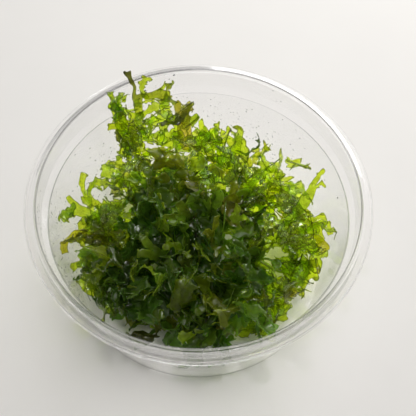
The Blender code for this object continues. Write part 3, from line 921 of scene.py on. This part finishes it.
# Lays one thallus of a kind from a start.
def growThallus(shape, kind, outline, start, heading, facing, size, draw, tint, new):
    frames = curledFrames(start, heading, facing, outline[1] * size, draw)
    tip = tint.lerp(Vector(finish["lime"]), 0.1 + 0.3 * new)
    if kind == "stem":
        tint = tip = Vector(finish["brown"]).lerp(Vector(finish["darkGreen"]), draw.random())
    addThallus(shape, outline, frames, size, draw, tint, tip, int(ageOf(new) == "new"))


# Thalli low on the open sides of a tuft, through which the mound rests on the cup's floor.
def addFeet(shape, node, others, draw):
    low = [triangle for triangle in node.data.loop_triangles
           if triangle.center.z < tangle["footHeight"] and abs(triangle.normal.z) < tangle["footSlope"]]
    faceChance, headChance = tangle["footChance"]
    for triangle in draw.choices(low, weights=[triangle.area for triangle in low], k=tangle["feet"]):
        point, normal = triangle.center.copy(), triangle.normal.copy()
        if not isOpen(point, normal, others):
            continue
        tint, new = pickTint(point, draw)
        kind = draw.choice(tangle["footKinds"])
        outline = draw.choice(library[kind])
        size = draw.uniform(*tangle["footSizes"])
        facing = (normal + anyWay(draw) * faceChance).normalized()
        heading = normal * tangle["footOut"] - Vector((0, 0, 1)) + anyWay(draw) * headChance
        heading = squareTo(facing, heading)
        start = keepInCup(point - heading * outline[1] * size * 0.5, tangle["deepest"])
        growThallus(shape, kind, outline, start, heading, facing, size, draw, tint, new)


# The thalli that one tuft of the mound is made of.
def makeTangle(name, trees):
    node = nodes[name]
    draw = random.Random(name)
    area = sum(polygon.area for polygon in node.data.polygons) / mm**2
    others = [tree for other, tree in trees.items() if other != name]
    shape = startTangle()
    dense, thin = tangle["density"]
    airy = tangle["airy"].get(name, 1)
    taken = []
    for point, normal in surfacePoints(node, others, int(area * dense), draw):
        tint, new = pickTint(point, draw)
        under = new * (1 - smoothStep(-tangle["underSlope"], tangle["underSlope"], normal.z))
        low = 1 - (1 - tangle["lowShare"]) * under
        if draw.random() > (1 + (thin / dense - 1) * new) * airy * low:
            continue
        age = ageOf(new)
        if any((point - other).length < tangle["spacing"][age] for other in taken):
            continue
        taken.append(point)
        kinds = tangle["kinds"][age]
        kind = draw.choices(list(kinds), weights=kinds.values())[0]
        outline = draw.choice(library[kind])
        size = draw.uniform(*tangle["sizes"][age])
        heading, facing = leanOut(normal, draw)
        length = outline[1] * size
        back = heading * length * draw.uniform(*tangle["rootShare"][age])
        depth = draw.uniform(*tangle["depths"][age])
        start = keepInCup(point - normal * depth - back, tangle["deepest"])
        growThallus(shape, kind, outline, start, heading, facing, size, draw, tint, new)
    addFeet(shape, node, others, draw)
    piece = finishSheet(name.replace("tuft", "thalli"), shape, name, tangle)
    return piece, len(taken)


tuftNames = sorted(name for name in nodes if name.startswith("tuft"))
trees = {name: treeOf(nodes[name]) for name in tuftNames}
tangles = [makeTangle(name, trees) for name in tuftNames]
print(sum(count for piece, count in tangles), "thalli in", len(tangles), "tufts")


# The fronds, each grown on the middle sheet of its plate

fronds = {
    "halfPlate": 0.45 * mm,
    "newFrom": 0.3,
    "rimAngle": math.radians(55),
    "joinAngles": (math.radians(50), math.radians(60)),
    "cuts": 2,
    "smooth": 0.6,
    "ripple": 0.4 * mm,
    "rippleScale": 420,
    "marginWander": 0.3 * mm,
    "lobeShare": 0.06,
    "lobes": (0.3 * mm, 0.8 * mm),
    "rootLength": 4.5 * mm,
    "rootTaper": 0.8,
    # How near the pieces may come to the cup
    "wallRoom": 0.3 * mm,
    "sprayRoom": 0.6 * mm,
    "thickness": 0.2 * mm,
    "crinkle": 1.4 * mm,
    # How far a sheet's margin stays inside its plate's
    "slim": 0.25 * mm,
    "slimmer": {"frond_tall": 0.6 * mm},
    # For each frond that the photo shows, how many small thalli branch from it, and its colours at
    # the foot and at the tip
    "shown": {
        "tall": (12, "lime", "darkOlive"), "back_prong": (6, "midGreen", "lime"),
        "olive": (3, "amber", "olive"), "antler": (4, "lime", "lime"),
        "left_prong": (6, "midGreen", "lime"), "hook": (6, "olive", "yellow"),
        "small_hook": (5, "lime", "lime"), "front_left": (6, "midGreen", "midGreen"),
        "right": (4, "midGreen", "lime"), "right_arch": (5, "lime", "lime"),
        "right_low": (5, "lime", "yellow"), "right_hook": (4, "midGreen", "olive"),
        "front_point": (4, "lime", "lime"), "square": (4, "lime", "yellow"),
    },
    "otherSprays": 2,
    # The part of a frond's length that they grow on
    "sprayReach": 0.7,
    "spraySizes": (0.45, 0.95),
    "sprayKinds": {"ribbon": 0.4, "frill": 0.55, "strap": 0.05},
    "sprayLift": 0.7,
    "sprayOut": 0.5,
    "sprayChance": 0.5,
    "sprayRoot": 1.0 * mm,
    "sprayGreen": (0, 0.5),
    "sprayLime": (0.3, 0.9),
    "tipLime": 0.4,
}
# The place in the mound that the fronds grow from
heart = Vector((0, 0, 10 * mm))


# One side of a frond's plate, moved to the middle of its thickness.
def middleSheet(node):
    shape = bmesh.new()
    shape.from_mesh(node.data)
    bmesh.ops.remove_doubles(shape, verts=shape.verts, dist=0.01 * mm)
    biggest = max(shape.faces, key=lambda face: face.calc_area())
    side, edge = {biggest}, [biggest]
    while edge:
        face = edge.pop()
        for rim in face.edges:
            for other in rim.link_faces:
                if other not in side and rim.calc_face_angle(math.pi) < fronds["rimAngle"]:
                    side.add(other)
                    edge.append(other)
    gone = [face for face in shape.faces if face not in side]
    bmesh.ops.delete(shape, geom=gone, context="FACES")
    shape.normal_update()
    for vert in shape.verts:
        vert.co -= vert.normal * fronds["halfPlate"]
    flat, skew = fronds["joinAngles"]
    bmesh.ops.join_triangles(
        shape, faces=shape.faces, angle_face_threshold=flat, angle_shape_threshold=skew
    )
    return shape


# Draws the margin of a sheet in.
def slimDown(shape, amount):
    rim = [vert for vert in shape.verts if vert.is_boundary]
    inward = {}
    for vert in rim:
        own = [edge for edge in vert.link_edges if edge.is_boundary]
        faces = [face for edge in own for face in edge.link_faces]
        middle = sum((face.calc_center_median() for face in faces), Vector()) / len(faces)
        inward[vert] = (middle - vert.co).normalized()
    for vert, way in inward.items():
        vert.co += way * amount


# Lets the foot of a frond down into the tangle that it grows from.
def addRoot(shape):
    rim = [edge for edge in shape.edges if edge.is_boundary]
    foot = sorted(rim, key=lambda edge: ((edge.verts[0].co + edge.verts[1].co) / 2 - heart).length)[:2]
    for _ in range(2):
        made = bmesh.ops.extrude_edge_only(shape, edges=foot)["geom"]
        shape.verts.index_update()
        foot = sorted((item for item in made if isinstance(item, bmesh.types.BMEdge)), key=orderOf)
        verts = [item for item in made if isinstance(item, bmesh.types.BMVert)]
        verts.sort(key=lambda vert: vert.index)
        middle = sum((vert.co for vert in verts), Vector()) / len(verts)
        down = (heart - middle).normalized() * fronds["rootLength"] / 2
        for vert in verts:
            vert.co = middle + (vert.co - middle) * fronds["rootTaper"] + down


# A push whose direction changes smoothly from place to place, the same on each run.
def smoothPush(spot):
    return Vector([noise.noise(spot + Vector((0, shift, 0))) for shift in (0, 17.3, 41.9)])


# Small lobes and wavy margins on a frond's sheet.
def ruffle(shape, draw):
    seed = draw.random() * 9
    putInOrder(shape)
    bmesh.ops.subdivide_edges(
        shape, edges=shape.edges, cuts=fronds["cuts"], use_grid_fill=True, smooth=fronds["smooth"]
    )
    addLobes(shape, draw, fronds["lobeShare"], fronds["lobes"])
    shape.normal_update()
    for vert in shape.verts:
        spot = vert.co * fronds["rippleScale"] + Vector((seed, 0, 0))
        amount = 1.0 if vert.is_boundary else 0.5
        vert.co += vert.normal * noise.noise(spot) * fronds["ripple"] * 2 * amount
        if vert.is_boundary:
            vert.co += smoothPush(spot) * fronds["marginWander"]
        keepInCup(vert.co, fronds["wallRoom"])


# Small thalli that branch from a frond.
def addSprays(shape, count, tint, slotIndex, draw):
    shape.normal_update()
    roots = [(vert.co.copy(), vert.normal.copy()) for vert in shape.verts]
    roots.sort(key=lambda root: (root[0] - heart).length)
    roots = roots[: int(len(roots) * fronds["sprayReach"])]
    kinds = fronds["sprayKinds"]
    for _ in range(count):
        place, normal = draw.choice(roots)
        outline = draw.choice(library[draw.choices(list(kinds), weights=kinds.values())[0]])
        size = draw.uniform(*fronds["spraySizes"])
        away = (place - heart).normalized()
        facing = normal * draw.choice((-1, 1)) + Vector((0, 0, fronds["sprayLift"]))
        facing = (facing + anyWay(draw) * fronds["sprayChance"]).normalized()
        heading = squareTo(facing, away * fronds["sprayOut"] + anyWay(draw))
        start = keepInCup(place - heading * fronds["sprayRoot"], fronds["sprayRoom"])
        frames = curledFrames(start, heading, facing, outline[1] * size, draw)
        shade = draw.uniform(*mound["shades"]["new"])
        own = tint.lerp(Vector(finish["midGreen"]), draw.uniform(*fronds["sprayGreen"])) * shade
        end = own.lerp(Vector(finish["lime"]), draw.uniform(*fronds["sprayLime"]))
        addThallus(shape, outline, frames, size, draw, own, end, slotIndex)


def makeFrond(name):
    draw = random.Random(name)
    shape = middleSheet(nodes[name])
    slimDown(shape, fronds["slimmer"].get(name, fronds["slim"]))
    addRoot(shape)
    ruffle(shape, draw)
    across = shape.verts.layers.float.new("across")
    tintLayer = shape.verts.layers.float_color.new("tint")
    centre = sum((vert.co for vert in shape.verts), Vector()) / len(shape.verts)
    tint, new = pickTint(centre, draw)
    tip = tint.lerp(Vector(finish["lime"]), fronds["tipLime"])
    count, *colours = fronds["shown"].get(name.removeprefix("frond_"), [fronds["otherSprays"]])
    if colours:
        tint, tip = (Vector(finish[colour]) for colour in colours)
        new = 1
    reach = sorted((vert.co - heart).length for vert in shape.verts)
    # The across mask marks the margin for the painted rim highlight and shade
    for vert in shape.verts:
        vert[across] = 1.0 if vert.is_boundary else 0.0
        share = smoothStep(reach[0], reach[-1], (vert.co - heart).length)
        vert[tintLayer] = (*tint.lerp(tip, share), 1)
    slotIndex = int(new > fronds["newFrom"])
    for face in shape.faces:
        face.smooth = True
        face.material_index = slotIndex
    putInOrder(shape)
    sheet = bpy.data.meshes.new(name + "_sheet")
    shape.to_mesh(sheet)
    shape.free()
    shape = startTangle()
    shape.from_mesh(sheet)
    addSprays(shape, count, tint, slotIndex, draw)
    return finishSheet(name.replace("frond", "leafy"), shape, name, fronds)


frondNames = sorted(name for name in nodes if name.startswith("frond"))
leafy = [makeFrond(name) for name in frondNames]
print(len(leafy), "fronds made")


# Small beads of water on the top of the tangle, in patches

beads = {
    "cell": 0.9 * mm,
    "share": 0.55,
    "patchScale": 140,
    "patchLevel": 0.12,
    "radii": (0.12 * mm, 0.36 * mm),
    "flatness": 0.6,
}


# The highest place of the pieces in each cell of a grid, with the way out of the surface there.
def topPlaces(pieces):
    graph = bpy.context.evaluated_depsgraph_get()
    tops = {}
    for piece in pieces:
        solid = piece.evaluated_get(graph)
        for vert in solid.to_mesh().vertices:
            cell = (round(vert.co.x / beads["cell"]), round(vert.co.y / beads["cell"]))
            if cell not in tops or vert.co.z > tops[cell][0].z:
                tops[cell] = (vert.co.copy(), vert.normal.copy())
        solid.to_mesh_clear()
    return [tops[cell] for cell in sorted(tops)]


def makeBeads(pieces):
    draw = random.Random(5)
    shape = bmesh.new()
    made = 0
    for place, out in topPlaces(pieces):
        if noise.noise(place * beads["patchScale"]) < beads["patchLevel"] or draw.random() > beads["share"]:
            continue
        size = draw.uniform(*beads["radii"])
        addDrop(shape, place, out, size, beads["flatness"])
        made += 1
    print(made, "beads of water made")
    finishDrops("water_beads", shape)


makeBeads([piece for piece, count in tangles])


# The floor, the light and the camera

stage = {
    "floorSize": 3.0,
    "floorDrop": 0.05 * mm,
    "worldColour": (1.0, 0.985, 0.965),
    "worldStrength": 0.30,
    # The room is darker towards the horizon: its light there, and how high it is full
    "horizon": (0.25, 0.6),
    "camera": {"target": Vector((2.69, 8.43, 20.0)) * mm, "distance": 300 * mm,
               "elevation": math.radians(58.82), "roll": math.radians(1.31), "lens": 84.4},
    # Name, place, size in metres and power in watts, all aimed at the cup. The sheen lamp only
    # shows in the gloss of the wet tissue.
    "lamps": [
        ("window", (0.15, 0.28, 0.30), 0.45, 1.55),
        ("spark", (0.04, 0.10, 0.50), 0.02, 0.26),
        ("left_spark", (-0.22, 0.02, 0.46), 0.02, 0.16),
        ("front_spark", (0.10, -0.16, 0.48), 0.02, 0.16),
        ("sheen", (0.02, 0.14, 0.48), 0.14, 1.30),
    ],
}


def makeFloor():
    shape = bmesh.new()
    bmesh.ops.create_grid(
        shape, x_segments=8, y_segments=8, size=stage["floorSize"] / 2,
        matrix=Matrix.Translation((0, 0, -stage["floorDrop"])),
    )
    mesh = bpy.data.meshes.new("floor")
    shape.to_mesh(mesh)
    shape.free()
    pale = makePlain("pale_floor", finish["floor"], roughness=0.7, patchScale=40, relief=0.1)
    pale.node_tree.nodes["Principled BSDF"].inputs["Specular IOR Level"].default_value = 0.0
    mesh.materials.append(pale)
    floor = bpy.data.objects.new("floor", mesh)
    bpy.context.scene.collection.objects.link(floor)


# The wet tissue, which alone shows the sheen lamp.
def wetPieces():
    wet = bpy.data.collections.new("wet_tissue")
    for piece in [piece for piece, count in tangles] + leafy:
        wet.objects.link(piece)
    return wet


def makeLight():
    world = bpy.data.worlds.new("soft_room")
    bpy.context.scene.world = world
    world.use_nodes = True
    tree = world.node_tree
    background = tree.nodes["Background"]
    background.inputs["Color"].default_value = (*stage["worldColour"], 1)
    way = addNode(tree, "ShaderNodeTexCoord").outputs["Generated"]
    height = addNode(tree, "ShaderNodeSeparateXYZ", Vector=way).outputs["Z"]
    low, top = stage["horizon"]
    levels = (low * stage["worldStrength"], stage["worldStrength"])
    level = addRange(tree, height, (0, top), levels, interpolation_type="SMOOTHSTEP")
    setInput(background.inputs["Strength"], level)
    for name, place, size, power in stage["lamps"]:
        lamp = bpy.data.lights.new(name, "AREA")
        lamp.size = size
        lamp.energy = power
        holder = bpy.data.objects.new(name, lamp)
        holder.location = place
        holder.rotation_euler = (-Vector(place)).to_track_quat("-Z", "Y").to_euler()
        bpy.context.scene.collection.objects.link(holder)
        if name == "sheen":
            holder.visible_diffuse = False
            holder.light_linking.receiver_collection = wetPieces()


def makeCamera():
    view = stage["camera"]
    rise, roll = view["elevation"], view["roll"]
    back = Vector((0, -math.cos(rise), math.sin(rise)))
    level, upward = Vector((1, 0, 0)), Vector((0, math.sin(rise), math.cos(rise)))
    right = level * math.cos(roll) + upward * math.sin(roll)
    up = upward * math.cos(roll) - level * math.sin(roll)
    turn = Matrix((right, up, back)).transposed().to_4x4()
    camera = bpy.data.objects.new("camera", bpy.data.cameras.new("camera"))
    camera.data.lens = view["lens"]
    camera.data.sensor_width = 36
    camera.data.clip_start = 0.01
    camera.matrix_world = Matrix.Translation(view["target"] + back * view["distance"]) @ turn
    bpy.context.scene.collection.objects.link(camera)
    bpy.context.scene.camera = camera


makeFloor()
makeLight()
makeCamera()
bpy.context.scene.view_settings.view_transform = "Standard"
bpy.context.scene.cycles.transparent_max_bounces = 16
print("stage made")
